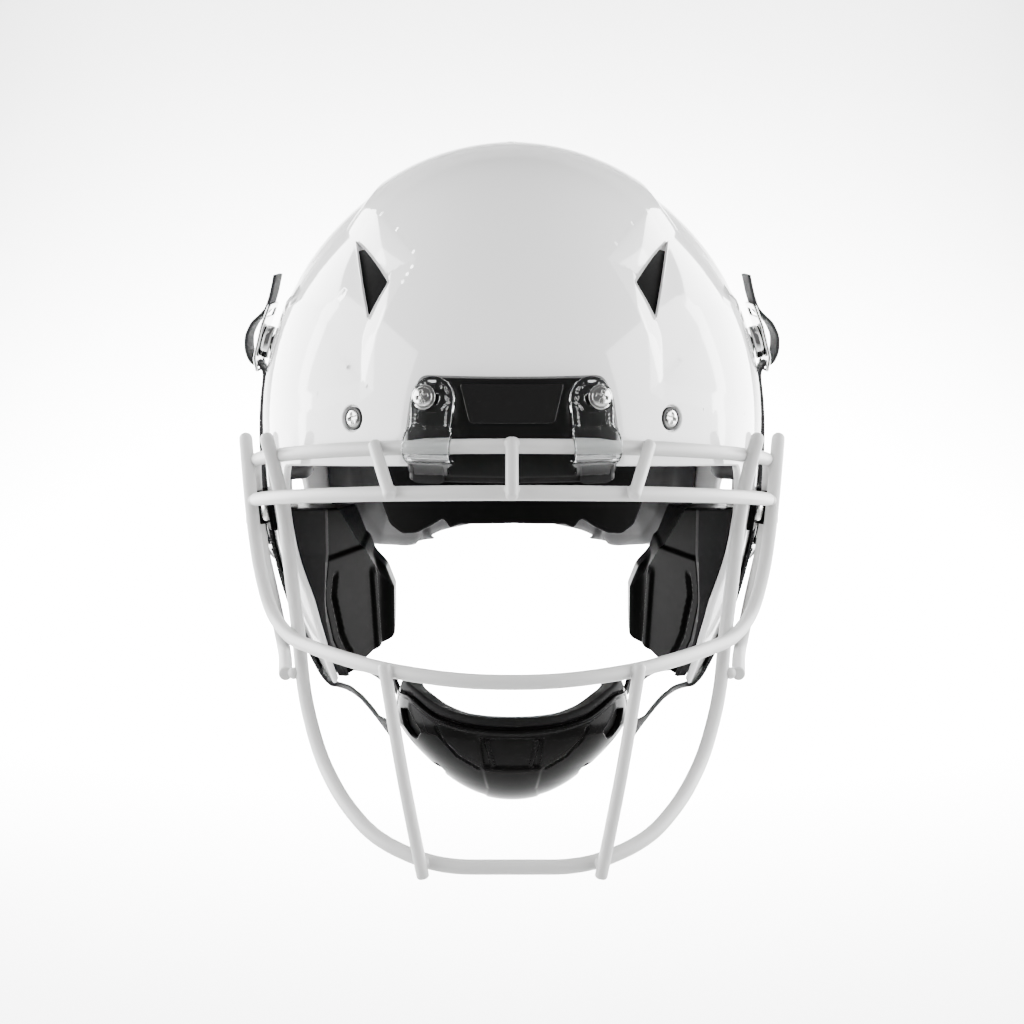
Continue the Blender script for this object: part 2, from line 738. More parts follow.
# Edge of the raised band on the wearer's right: point, drop in mm and width of the slope in mm.
BAND = (
    ((-30.0, 138.0, 48.0), 0.0, 6.0),
    ((-44.0, 118.0, 90.0), 1.2, 6.0),
    ((-53.0, 80.0, 140.0), 1.6, 6.0),
    ((-57.0, 40.0, 158.0), 1.8, 6.0),
    ((-59.0, 0.0, 162.0), 2.0, 6.0),
    ((-63.0, -24.0, 155.0), 2.4, 8.0),
    ((-67.1, -39.5, 147.9), 3.4, 14.0),
    ((-60.6, -54.5, 146.5), 3.6, 15.0),
    ((-40.1, -99.2, 127.0), 3.8, 15.0),
    ((-57.1, -110.6, 96.0), 3.4, 10.7),
    ((-58.1, -118.9, 72.7), 2.8, 9.4),
    ((-64.0, -115.0, 67.5), 2.2, 9.0),
    ((-85.0, -97.3, 61.6), 1.2, 9.0),
    ((-100.0, -76.0, 57.0), 0.4, 9.0),
    ((-110.0, -52.0, 54.0), 0.0, 9.0),
)
band_points = crown_map(crown_flat([row[0] for row in BAND]), 0.0)
band_drop = np.array([row[1] for row in BAND])
band_slope = np.array([row[2] for row in BAND])
BAND_BACK = ((-118.0, 0.0, 50.0), (-112.0, 60.0, 45.0), (-80.0, 110.0, 40.0), (-40.0, 138.0, 42.0))
panel_flat = np.vstack([crown_flat(band_points), crown_flat(BAND_BACK)])
VENT = ((-71.0, -60.5, 135.0), (-54.0, -98.0, 118.0), (-63.0, -102.5, 102.5))


def to_right(p):
    """Flat points brought onto the wearer's right."""
    return p * np.where(p[:, :1] > 0, [-1.0, 1.0], [1.0, 1.0])


def panel_height(p):
    """Drop of the side panels, with the slopes that lead down to them from the raised band."""
    q = to_right(p)
    where = crown_map(q, np.zeros(len(q)))
    gap, k, share = to_segments(where, band_points[:-1], band_points[1:])
    drop = band_drop[k] * (1 - share) + band_drop[k + 1] * share
    slope = band_slope[k] * (1 - share) + band_slope[k + 1] * share
    signed = np.where(in_loops(q, [panel_flat]), gap, -gap)
    fade = 1 - ease((signed - slope) / 75.0)
    return -drop * soft_ramp(signed / slope, 0.08) * fade


def ring_on(place, radius, count=64):
    """Round loop about a point of the form, in the flat map of the crown."""
    normal = form_normal(place)
    u = unit(np.cross([0.0, 0.3, 1.0], normal))
    w = np.cross(normal, u)
    angle = turn_angles(count)
    return crown_flat(np.asarray(place) + radius * (np.outer(np.cos(angle), u) + np.outer(np.sin(angle), w)))


LINER_SCREW = np.array([-68.0, front_depth(68.0, 60.5), 60.5])
CROWN_SCREW = np.array([0.0, -6.0, LEVEL + CROWN - 0.2])
EAR = np.array(on_side(42.0, 4.0))
mirror_x = np.array([-1.0, 1.0])

outline = shell_outline()
vent = soften(crown_flat(VENT), 0.8, 0.9)
ear = ring_on(EAR, 11.0)
liner_hole = ring_on(LINER_SCREW, 5.7)
crown_hole = ring_on(CROWN_SCREW, 5.7)
through = [outline, vent, vent * mirror_x, ear, ear * mirror_x]


def near_band(p):
    q = to_right(p)
    return to_segments(crown_map(q, np.zeros(len(q))), band_points[:-1], band_points[1:])[0] < 20.0


shell = slab(through, crown_map, panel_height, -WALL, 1.2, 1.2, 4.2, (1.5, near_band),
             [(liner_hole, 1.6, 0.7), (liner_hole * mirror_x, 1.6, 0.7), (crown_hole, 1.6, 0.7)])

emit("shell_form", shell, WHITE, "helmet", ["shell"])

# ---- brow bumper, its lip and its blank plate
BUMPER_FOOT = 39.0
HALF_BUMPER = ((0.0, 80.4), (-37.5, 80.4), (-42.0, 72.0), (-44.0, 58.0), (-43.6, 46.0), (-43.0, BUMPER_FOOT),
               (0.0, BUMPER_FOOT))


def lip_map(p, h):
    """Map over x and the distance from the form, for the lip that turns in under the shell's rim."""
    return front_map(np.stack([p[:, 0], BUMPER_FOOT + h], 1), p[:, 1])


bumper = slab([soften(both_sides(HALF_BUMPER), 0.8, 2.2)], front_map, 4.6, 0.4, 1.5, 0.5, 3.0)
lip_outline = soften(both_sides([(0.0, 4.4), (-42.6, 4.4), (-42.6, -3.2), (0.0, -3.2)]), 0.8, 1.0)
bumper.join(slab([lip_outline], lip_map, 1.9, -1.8, 0.9, 1.2, 2.5))
emit("brow_bumper_form", bumper, RUBBER, "helmet", ["brow_bumper"])
plate_outline = soften(both_sides([(0.0, 78.0), (-21.5, 78.0), (-17.5, 62.0), (0.0, 62.0)]), 0.5, 1.1)
emit("badge_plate_form", slab([plate_outline], front_map, 5.4, 4.5, 0.35, 0.1, 2.0), BADGE, "helmet",
     ["badge_plate"])
lip_line = front_map(np.stack([np.linspace(-41.0, 41.0, 60), np.full(60, 37.9)], 1), 4.1)
emit("bumper_lip_line", tube(lip_line, 0.55, 0.0, 12), COVER, "helmet")
TAB = ((-41.5, 46.0), (-28.0, 46.0), (-28.0, 37.6), (-30.0, 36.6), (-39.5, 36.6), (-41.5, 37.6))
tab_outline = soften(TAB, 0.5, 0.6)
emit_pair("brow_clip_tab", slab([tab_outline], front_map, 6.2, 4.5, 0.6, 0.1, 2.0), COVER, "helmet")

# ---- face guard
MOUTH = ((-124.0, -42.0, 45.0), (-120.8, -50.0, 10.0), (-117.0, -58.0, -15.0), (-110.0, -72.0, -34.0),
         (-98.0, -96.0, -40.5), (-73.0, -137.0, -38.0), (-50.0, -165.0, -36.5), (-18.0, -180.5, -37.0))
CHIN = ((-108.3, -89.0, 51.0), (-102.2, -81.4, 20.0), (-98.8, -85.0, -14.0), (-95.5, -89.0, -39.0),
        (-92.5, -98.0, -66.0), (-84.0, -118.0, -87.0), (-72.0, -145.0, -98.0), (-56.0, -169.0, -107.0),
        (-30.0, -184.0, -113.0))
SIDE = ((-119.8, -42.0, 32.0), (-122.0, -29.0, 25.0), (-120.8, -27.5, -6.0), (-114.0, -29.5, -38.0),
        (-109.5, -31.0, -62.0), (-106.0, -55.0, -60.0), (-101.0, -95.0, -56.5))
CHIN_STRUT = ((-52.0, -166.5, -33.0), (-44.3, -179.5, -75.0), (-35.6, -187.0, -117.0))
BROW_STRUT = ((-57.2, -136.5, 53.0), (-53.2, -149.0, 44.3), (-48.9, -160.5, 34.2))
CENTRE_STRUT = ((0.0, -152.6, 56.2), (0.0, -163.8, 46.8), (0.0, -174.1, 36.1))


def whole(half):
    """Wire from its right half, whose last point is nearest the middle."""
    return list(half) + [(-x, y, z) for x, y, z in reversed(half)]


def half_oval(depth, reach, centre_level, side_level, end_depth):
    """Bar that runs round the front in half an oval and drops towards its ends."""
    end = math.asin(end_depth / depth)
    angle = np.linspace(math.pi + end, 2 * math.pi - end, 120)
    rise = centre_level - side_level
    return np.stack([reach * np.cos(angle), depth * np.sin(angle), side_level - rise * np.sin(angle)], 1)


def ball(centre, radius):
    """Small weld bead."""
    body = Body()
    rows = []
    lon = turn_angles(16)
    for lat in np.linspace(-math.pi / 2 + 0.02, math.pi / 2 - 0.02, 9):
        flat = math.cos(lat)
        n = np.stack([flat * np.cos(lon), flat * np.sin(lon), np.full(16, math.sin(lat))], 1)
        first = body.add(np.asarray(centre) + n * radius, n)
        rows.append([first + i for i in range(16)])
    body.skin(rows)
    return body


wires = {
    "brow_bar": (half_oval(148.5, 124.0, 53.4, 24.0, 40.0), WIRE_R),
    "eye_bar": (half_oval(166.0, 125.0, 37.0, 5.0, 54.0), WIRE_R),
    "mouth_bar": (arcs(whole(MOUTH)), WIRE_R),
    "chin_bar": (arcs(whole(CHIN)), WIRE_R),
    "brow_strut_centre": (arcs(CENTRE_STRUT), STRUT_R),
}
for side, flip in (("right", 1.0), ("left", -1.0)):
    turned = np.array([flip, 1, 1])
    wires[f"side_wire_{side}"] = (arcs(SIDE) * turned, WIRE_R)
    wires[f"chin_strut_{side}"] = (arcs(CHIN_STRUT) * turned, STRUT_R)
    wires[f"brow_strut_{side}"] = (arcs(BROW_STRUT) * turned, STRUT_R)

BLUNT = {"brow_strut_centre": 1.6, "chin_strut": 1.6, "brow_strut": 1.6, "side_wire": 0.9}
BEAD = 2.7
WELD_GAP = 1.5
beads = {name: [] for name in wires}
for one, two in itertools.combinations(wires, 2):
    (a, ra), (b, rb) = wires[one], wires[two]
    for half in (-1, 1):
        aa, bb = a[a[:, 0] * half >= -0.5], b[b[:, 0] * half >= -0.5]
        if not len(aa) or not len(bb):
            continue
        gap = np.linalg.norm(aa[:, None] - bb[None], axis=2)
        k, m = np.unravel_index(gap.argmin(), gap.shape)
        if gap[k, m] < ra + rb + WELD_GAP:
            beads[one].append((aa[k] * rb + bb[m] * ra) / (ra + rb))
for name, (path, radius) in wires.items():
    body = tube(path, radius, BLUNT.get(name.replace("_right", "").replace("_left", ""), 0.0))
    for spot in beads[name]:
        body.join(ball(spot, BEAD))
    emit(name + "_wire", body, COATED, "helmet", [name])


# ---- screws
up = np.array([0.0, 0.0, 1.0])


def screw_head(origin, axis, radius=4.1, height=1.9, turn=0.3):
    """Round cross-head screw; origin is the middle of its seat."""
    u = unit(np.cross(up, axis)) if abs(axis[2]) < 0.95 else np.array([1.0, 0, 0])
    w = np.cross(axis, u)

    def rise(x, y):
        r = np.hypot(x, y)
        dome = 0.45 + (height - 0.45) * np.clip(1 - (r / (radius * 1.01)) ** 2, 0, 1) ** 0.6
        c, s = math.cos(turn), math.sin(turn)
        p, q = np.abs(x * c + y * s), np.abs(y * c - x * s)

        def arm(m, n):
            return ease((0.85 - m) / 0.35) * ease((2.75 - n) / 0.5)
        return dome - 1.3 * np.maximum(arm(p, q), arm(q, p))

    body = Body()
    rings = np.linspace(0.02, radius, 30)
    angle = turn_angles(84)
    rows = []
    for r in rings:
        x, y = r * np.cos(angle), r * np.sin(angle)
        e = 0.03
        gx, gy = (rise(x + e, y) - rise(x - e, y)) / (2 * e), (rise(x, y + e) - rise(x, y - e)) / (2 * e)
        n = unit(-np.outer(gx, u) - np.outer(gy, w) + axis)
        v = origin + np.outer(x, u) + np.outer(y, w) + np.outer(rise(x, y), axis)
        first = body.add(v, n)
        rows.append([first + i for i in range(len(angle))])
    spoke = np.outer(np.cos(angle), u) + np.outer(np.sin(angle), w)
    for h in (0.42, -0.6):
        first = body.add(origin + spoke * radius + axis * h, spoke)
        rows.append([first + i for i in range(len(angle))])
    body.skin(rows)
    return body


def seat_ring(origin, axis, inner, outer, low, high):
    """Washer or grommet with an eased outer edge."""
    return lathe(origin, axis, [(inner, low), (inner, high - 0.1), (inner + 0.1, high),
                                (outer - 0.25, high), (outer, high - 0.25), (outer, low)])


def both(body):
    """A piece and its mirror image as one."""
    return Body().join(body).join(body, True)


CLIP_X = 33.8
CLIP_SCREW = np.array([-CLIP_X, front_depth(CLIP_X, 70.8), 70.8])
clip_axis = form_normal(CLIP_SCREW)
clip_seat = CLIP_SCREW + clip_axis * 8.3
liner_axis = form_normal(LINER_SCREW)
SINK = 1.55                                 # depth of a liner screw's seat below the shell's face
washer = seat_ring(clip_seat, clip_axis, 2.6, 5.2, -0.85, -0.05)
for name, body, node in (
        ("brow_clip_screw_heads", both(screw_head(clip_seat, clip_axis)), "brow_clip_screws"),
        ("brow_clip_washer_rings", both(washer), "brow_clip_washers"),
        ("liner_screw_heads", both(screw_head(LINER_SCREW - liner_axis * SINK, liner_axis)), "liner_screws"),
        ("crown_screw_head", screw_head(CROWN_SCREW - up * SINK, up), "crown_screw")):
    emit(name, body, STEEL, "helmet", [node])
grommets = both(seat_ring(LINER_SCREW, liner_axis, 3.9, 4.95, -1.6, -0.45))
grommets.join(seat_ring(CROWN_SCREW, up, 3.9, 4.95, -1.6, -0.45))
emit("screw_grommets", grommets, RUBBER, "helmet")

# ---- clear brow clips
wire_y = -148.5 * math.sqrt(1 - (CLIP_X / 124.0) ** 2)
WIRE_POINT = np.array([-CLIP_X, wire_y, 24.0 - 29.4 * wire_y / 148.5])
clip_out = unit(np.array([-CLIP_X / HALF**2, wire_y / FRONT**2, 0.0]))
clip_side = np.cross(up, clip_out)


def smooth_path(points, step, width):
    """Open path resampled at a step with its corners rounded; its two ends stay in place."""
    line = resample(np.asarray(points, float), step, closed=False)
    reach = min(int(2.5 * width / step), len(line) - 1)
    head = 2 * line[0] - line[1:reach + 1][::-1]
    tail = 2 * line[-1] - line[-reach - 1:-1][::-1]
    long = np.vstack([head, line, tail])
    weights = bell(reach, step, width)
    return np.stack([np.convolve(long[:, k], weights, "valid") for k in range(long.shape[1])], 1)


def along_path(profile, origin, side, out, top):
    """Map over (across, run) onto a bent strip whose profile is (out, up) points."""
    run = run_along(profile)
    slope = unit(np.gradient(profile, axis=0))

    def to3d(p, h):
        b, c = (np.interp(p[:, 1], run, profile[:, k]) for k in (0, 1))
        tb, tc = (np.interp(p[:, 1], run, slope[:, k]) for k in (0, 1))
        nb, nc = -tc, tb
        return (origin + np.outer(p[:, 0], side) + np.outer(b + nb * h, out) + np.outer(c + nc * h, top))
    return to3d, run


CLIP_BEND = ((-5.7, 32.5), (-4.9, 28.5), (-2.9, 18.5), (-0.6, 9.0), (3.0, 5.9), (5.6, 3.3), (6.4, 0.0),
             (5.7, -3.2), (3.2, -5.8), (0.6, -6.8), (-0.6, -9.5), (-1.5, -13.0))
clip_profile = smooth_path(CLIP_BEND, 0.3, 0.9)
clip_map, clip_run = along_path(clip_profile, WIRE_POINT, clip_side, clip_out, up)


def run_at(profile, run, level):
    """Run of a bent strip at a level."""
    return float(run[np.argmin(np.abs(profile[:, 1] - level))])


clip_eye = run_at(clip_profile[:120], clip_run[:120], 19.6)
sleeve = run_at(clip_profile[:90], clip_run[:90], 7.4)
clip_end = float(clip_run[-1])
sleeve_end = clip_end - 6.0
arch = [(9.3 * math.cos(a), clip_eye - 9.3 * math.sin(a)) for a in np.linspace(0, math.pi, 25)]
foot = [(-8.8, sleeve - 1.0), (-10.2, sleeve + 0.4), (-10.2, sleeve_end), (-7.4, sleeve_end + 1.5),
        (-7.4, clip_end - 1.0)]
clip_outline = soften(arch + foot + [(-x, run) for x, run in reversed(foot)], 0.5, 0.5)
clip_eye_hole = np.array([(2.8 * math.cos(a), clip_eye + 2.8 * math.sin(a)) for a in turn_angles(32)])


def clip_height(p):
    """Relief of the clip: raised border, screw seat and the ledge where the sleeve begins."""
    d = edge_distance(p, [clip_outline])
    border = ease((d - 0.5) / 0.5) * ease((2.4 - d) / 0.5) * ease((sleeve - 0.5 - p[:, 1]) / 1.0)
    seat = ease((6.4 - np.hypot(p[:, 0], p[:, 1] - clip_eye)) / 0.6)
    ledge = ease((1.2 - np.abs(p[:, 1] - sleeve)) / 0.6)
    return 0.8 * border - 0.5 * seat + 0.5 * ledge * (1 - border)


clip = slab([clip_outline, clip_eye_hole], clip_map, clip_height, -2.3, 0.45, 0.45, 1.0)
emit_pair("brow_clip_form", clip, CLEAR, "helmet", ["brow_clip"])

# ---- snap buckles and strap loops
def buckle_frame(y, z):
    """Stud's foot on the shell, with the directions across, outwards and up."""
    place = np.array(on_side(y, z))
    out = form_normal(place)
    side = unit(np.cross(up, out))
    return place, side, out, np.cross(out, side)


def rounded_box(half_x, low, high, step=0.6, soft=1.2):
    """Outline of a plate or slot."""
    return soften([(-half_x, low), (half_x, low), (half_x, high), (-half_x, high)], step, soft)


UPPER_STUD, LOWER_STUD = (8.0, 82.0), (12.0, -9.0)
buckle_profile = smooth_path([(4.2, -14.2), (7.0, -8.0), (7.0, 8.0), (5.7, 19.2)], 0.4, 0.8)
CAP = ((4.5, 2.0), (7.3, 2.0), (7.8, 2.2), (8.0, 2.7), (8.0, 5.5), (7.8, 5.95), (7.2, 6.2), (0.01, 6.2))
LOOP = ((5.0, -11.4), (8.6, -10.9), (12.2, -6.0), (13.9, 1.0), (12.4, 8.0), (8.9, 13.0), (7.1, 16.5),
        (6.6, 24.0), (6.9, 33.0))
for level, (y, z) in (("upper", UPPER_STUD), ("lower", LOWER_STUD)):
    place, side, out, top = buckle_frame(y, z)
    bend, bend_run = along_path(buckle_profile, place, side, out, top)
    length = float(bend_run[-1])
    loops = [rounded_box(12.0, 0.1, length - 0.1)]
    for slot_level in (-11.2, 14.5):
        middle = run_at(buckle_profile, bend_run, slot_level)
        loops.append(rounded_box(10.1, middle - 1.9, middle + 1.9, 0.5, 0.6))
    rides = f"{level}_buckle_"
    plate = slab(loops, bend, 0.7, -0.7, 0.45, 0.45, 2.0)
    emit_pair(f"{level}_buckle_plate", plate, CHROME, rides, [f"{level}_buckle"])
    emit_pair(f"{level}_snap_disc", lathe(place, out, CAP), CHROME, rides, [f"{level}_snap_cap"])
    path = smooth_path(LOOP, 0.8, 1.6)
    points = place + np.outer(path[:, 0], out) + np.outer(path[:, 1], top)
    band = ribbon(points, np.tile(side, (len(points), 1)), STRAP, 1.5)
    emit_pair(f"{level}_webbing_loop", band, WEBBING, rides, [f"{level}_strap_loop"])


# ---- chin strap webbing
def strap(rows, step=1.6, width=3.0):
    """Band through (place, width direction) rows."""
    line = smooth_path([tuple(a) + tuple(v * 20.0 for v in b) for a, b in rows], step, width)
    return ribbon(line[:, :3], line[:, 3:], STRAP, 1.6)


def from_buckle(stud):
    """First rows of a strap, behind its buckle."""
    place, side, out, top = buckle_frame(*stud)
    return [(tuple(place + out * 4.4 - top * 11.3), (0.0, 1.0, 0.0)),
            (tuple(place + out * 2.6 - top * 13.5), (0.0, 1.0, -0.1))]


def down_shell(start, end, lean, count):
    """Rows of a strap that lies on the shell between two (y, z) places."""
    places = start + np.linspace(0, 1, count)[:, None] * (np.array(end) - start)
    return [(on_side(y, z, 1.3), lean) for y, z in places]


SPLIT = 5                                   # row of the upper strap where its top piece ends
upper_rows = down_shell((7.0, 66.0), (-36.0, -74.3), (0.0, 1.0, -0.3), 14)
upper_free = [
    ((-85.5, -35.5, -77.5), (0.1, 1.0, -0.2)),
    ((-78.5, -38.0, -79.0), (0.3, 0.9, -0.4)),
    ((-71.0, -49.0, -80.5), (0.5, 0.5, -0.7)),
    ((-63.5, -66.0, -83.5), (0.55, 0.2, -0.8)),
    ((-56.5, -81.5, -87.0), (0.5, 0.2, -0.85)),
    ((-50.8, -94.0, -88.5), (0.15, 0.15, -1.0)),
]
lower_rows = from_buckle(LOWER_STUD) + down_shell((11.0, -24.0), (-12.0, -66.0), (0.0, 1.0, -0.5), 7)
lower_free = [
    ((-93.0, -15.0, -70.5), (0.1, 1.0, -0.1)),
    ((-82.0, -17.0, -74.0), (0.2, 1.0, -0.15)),
    ((-70.0, -21.0, -75.0), (0.3, 0.9, -0.4)),
    ((-63.5, -38.0, -73.0), (0.5, 0.5, -0.7)),
    ((-58.5, -62.0, -68.5), (0.6, 0.2, -0.75)),
    ((-53.8, -84.0, -66.0), (0.55, 0.2, -0.8)),
    ((-49.5, -94.0, -66.5), (0.3, 0.15, -1.0)),
]
emit_pair("upper_strap_top", strap(from_buckle(UPPER_STUD) + upper_rows[:SPLIT + 1]), WEBBING,
          ("helmet", "upper_buckle_", upper_rows[SPLIT][0], upper_rows[0][0]))
emit_pair("upper_strap_run", strap(upper_rows[SPLIT:] + upper_free), WEBBING,
          ("helmet", "chin_cup_body", (-79.0, -36.0, -80.0), (-62.0, -68.0, -85.0)),
          ["upper_strap", "upper_strap_end"])
emit_pair("lower_strap_run", strap(lower_rows + lower_free), WEBBING,
          ("helmet", "chin_cup_body", (-72.0, -20.0, -75.0), (-60.0, -56.0, -69.0)),
          ["lower_strap", "lower_strap_end"])

# ---- chin cup
CUP = np.array([0.0, -98.0, -70.0])
CUP_AXES = np.array([49.0, 39.0, 41.5])     # half width, depth and height of the cup's form
# The cup's width is scaled by the second row at the heights in the first.
NARROWING = ((-112.0, -108.0, -104.0, -98.0, -91.0, -85.0, -75.0, -60.0),
             (0.88, 0.87, 0.875, 0.89, 0.935, 0.985, 1.06, 1.04))
K = 42.0                                    # millimetres per radian of the cup's flat map


def cup_map(p, g):
    """Flat map of the cup, spread out from its front."""
    rho, share = spread(p, K)
    z = CUP[2] + (CUP_AXES[2] + g) * p[:, 1] * share
    x = (CUP_AXES[0] + g) * p[:, 0] * share * np.interp(z, *NARROWING)
    return np.stack([x, CUP[1] - (CUP_AXES[1] + g) * np.cos(rho), z], 1)


def cup_flat(points):
    """Flat places of (x, z) points seen from the front."""
    points = np.asarray(points, float)
    nz = (points[:, 1] - CUP[2]) / CUP_AXES[2]
    nx = points[:, 0] / (CUP_AXES[0] * np.interp(points[:, 1], *NARROWING))
    size = np.minimum(np.hypot(nx, nz), 0.9999)
    rho = np.arcsin(size)
    return np.stack([nx, nz], 1) / np.maximum(np.hypot(nx, nz), 1e-9)[:, None] * (rho * K)[:, None]


rim = 1.68 * K
rim_arc = [(-rim * math.cos(a), rim * math.sin(a)) for a in np.radians(np.linspace(10, -90, 26))]
CUP_TOP = ((0.0, -70.5), (-12.0, -70.2), (-22.0, -69.3), (-33.0, -67.0), (-40.0, -63.3), (-44.5, -61.0))
top_edge = cup_flat(CUP_TOP)
cup_half = np.vstack([top_edge, rim_arc])
cup_outline = soften(both_sides(cup_half), 0.8, 1.4)
slot_one = cup_flat([(-49.0, -68.0), (-45.5, -66.5), (-39.5, -75.0), (-41.5, -79.5), (-44.0, -79.0)])
slot_two = cup_flat([(-36.5, -92.5), (-32.5, -91.0), (-28.0, -97.5), (-31.5, -100.5)])
cup_holes = [soften(slot_one, 0.5, 0.6), soften(slot_two, 0.5, 0.6)]
cup_holes += [hole * mirror_x for hole in cup_holes]
groove = cup_flat([(-33.0, -71.0), (-29.5, -77.0), (-23.5, -83.5), (-14.5, -88.8)])
window = soften(cup_flat([(-13.8, -74.0), (13.8, -74.0), (12.2, -88.2), (-12.2, -88.2)]), 0.5, 0.5)
window_bar = cup_flat([(-11.2, -75.5), (-8.2, -88.0)])
keel = cup_flat([(-12.5, -89.0), (-10.5, -100.0), (-12.0, -112.0)])


def cup_height(p):
    """Relief of the cup: window with its bars, side grooves, keel and rolled edge."""
    q = to_right(p)
    inside = np.where(in_loops(p, [window]), edge_distance(p, [window]), -1.0)
    sunk = ease((inside + 0.2) / 0.9)
    bar = ease((1.1 - to_segments(q, window_bar[:-1], window_bar[1:])[0]) / 0.6) * sunk
    line = ease((0.9 - to_segments(q, groove[:-1], groove[1:])[0]) / 0.7)
    gap, k, share = to_segments(q, keel[:-1], keel[1:])
    side = np.interp(p[:, 1], keel[::-1, 1], keel[::-1, 0])
    raised = ease((np.abs(side) - np.abs(p[:, 0])) / 2.0 + 0.5) * ease((keel[0, 1] + 2 - p[:, 1]) / 2.5)
    roll = ease((2.6 - edge_distance(p, [cup_outline])) / 1.6)
    return -1.5 * sunk + 1.0 * bar - 0.7 * line + 0.5 * raised + 0.5 * roll


def cup_front(p):
    return np.linalg.norm(p, axis=1) < 58.0


cup = slab([cup_outline] + cup_holes, cup_map, cup_height, -2.6, 0.6, 0.6, 3.0, (0.75, cup_front))
emit("chin_cup_form", cup, BLACK, "chin_cup_body", ["chin_cup"])

pad_top = cup_flat([(0.0, -65.0), (-12.0, -64.9), (-23.0, -64.2), (-33.0, -61.6), (-41.0, -58.0)])
pad_rim = 1.55 * K
pad_arc = [(-pad_rim * math.cos(a), pad_rim * math.sin(a)) for a in np.radians(np.linspace(20, -90, 26))]
pad_outline = soften(both_sides(np.vstack([pad_top, pad_arc])), 1.0, 2.2)


def pad_height(p):
    """Foam that lies under the cup and comes up flush as a band along its top and sides."""
    edge = np.interp(np.abs(p[:, 0]), *(np.abs(top_edge[:, 0]), top_edge[:, 1]))
    band = np.maximum(ease((p[:, 1] - edge - 0.4) / 2.0), ease((np.abs(p[:, 0]) - 60.0) / 3.0))
    return -2.9 + 2.9 * band


pad = slab([pad_outline], cup_map, pad_height, -9.5, 1.6, 2.5, 2.4, (1.0, cup_front))
emit("chin_pad_form", pad, FOAM, "chin_cup_body", ["chin_pad"], fill_level=0.8)


# ---- jaw pads
JAW_FRONT = np.array([(-63.0, 12.0), (-63.0, -9.0), (-67.0, -30.0), (-60.5, -50.5), (-46.5, -71.0)])
JAW_BACK = [(-27.0, -66.5), (-9.0, -61.5), (6.0, -50.0), (10.0, 3.0)]


def inner_line(p):
    """Inner face of the pad, sloping away above the cheek."""
    across = np.interp(p[:, 0], [-90.0, -63.0, -8.0, 14.0], [-88.5, -86.0, -61.0, -61.0])
    return np.minimum(across, -61.0 - 0.394 * np.maximum(p[:, 1] + 36.0, 0.0))


def jaw_map(p, h):
    """Map over (y, z) whose heights run in from the pad's inner face."""
    return np.stack([inner_line(p) + h, p[:, 0], p[:, 1]], 1)


def jaw_base(p):
    """Height at which the pad meets the shell."""
    return -half_width(p[:, 0], p[:, 1], FIT) - inner_line(p)


def jaw_relief(p):
    """Channel behind the front edge, moulded ridge, swollen heel and the step under the top."""
    y, z = p[:, 0], p[:, 1]
    front = np.interp(z, JAW_FRONT[::-1, 1], JAW_FRONT[::-1, 0]) + 3.3
    gutter = ease((2.6 - np.abs(y - front - 8.0)) / 2.0) * ease((-18.0 - z) / 5.0)
    ridge = ease((3.6 - np.abs(y + 24.0 + 0.1 * z)) / 2.6) * ease((-22.0 - z) / 5.0)
    heel = ease((y + 16.0) / 9.0) * ease((-18.0 - z) / 9.0)
    step = ease((z + 12.5) / 2.0)
    return -1.6 * gutter + 1.3 * ridge + 3.4 * heel - 1.3 * step


jaw_outline = soften(np.vstack([JAW_FRONT + [3.3, 0], JAW_BACK]), 1.0, 1.6)
jaw = slab([jaw_outline], jaw_map, jaw_relief, jaw_base, 1.3, 1.0, 0.9)
emit_pair("jaw_pad_form", jaw, SKIN, "helmet", ["jaw_pad"], fill_level=0.9)
strip_outline = soften(np.vstack([JAW_FRONT, (JAW_FRONT + [3.0, 0])[::-1]]), 0.6, 0.5)
cover = slab([strip_outline], jaw_map, 0.4, jaw_base, 0.6, 0.6, 2.0)
emit_pair("jaw_pad_edge", cover, COVER, "helmet", ["jaw_pad_cover"], slot="black_plastic", fill_level=0.9)

# ---- liner pads
def inward(p, h):
    """Map round the sides whose heights run into the helmet."""
    return round_map(p, -h)


def inward_top(p, h):
    return top_map(p, -h)


def front_round(points):
    """Places of (x, z) points of the front on the map round the sides."""
    return round_flat(front_map(np.asarray(points, float), FIT), FIT)


def pillow(outline, depth, crown, reach, seams=()):
    """Height of a cushion that swells away from its edge, with stitched or moulded grooves."""
    def height(p):
        d = edge_distance(p, [outline])
        swell = 1 - (1 - np.clip(d / reach, 0, 1)) ** 2
        dip = np.zeros(len(p))
        for a, b in seams:
            gap = to_segments(p, np.array([a], float), np.array([b], float))[0]
            dip = np.maximum(dip, np.exp(-(gap / 2.2) ** 2))
        return depth - crown + crown * swell - 2.5 * dip
    return height


def cushion(outline, depth, crown, reach, step, r_top=6.0, r_base=2.0, seams=(), to3d=inward):
    """Liner pad; reach is how far in from its edge it goes on swelling."""
    return slab([outline], to3d, pillow(outline, depth, crown, reach, seams), 4.0, r_top, r_base, step)


def rear_run(x, z, g=FIT):
    """Place of a point of the back on the map round the sides."""
    s = math.sqrt(1 - ((z - LEVEL) / height_axis(z, g)) ** 2)
    return (ARC * (math.pi + math.asin(max(-0.93, min(0.93, x / ((HALF + g) * s))))), z)


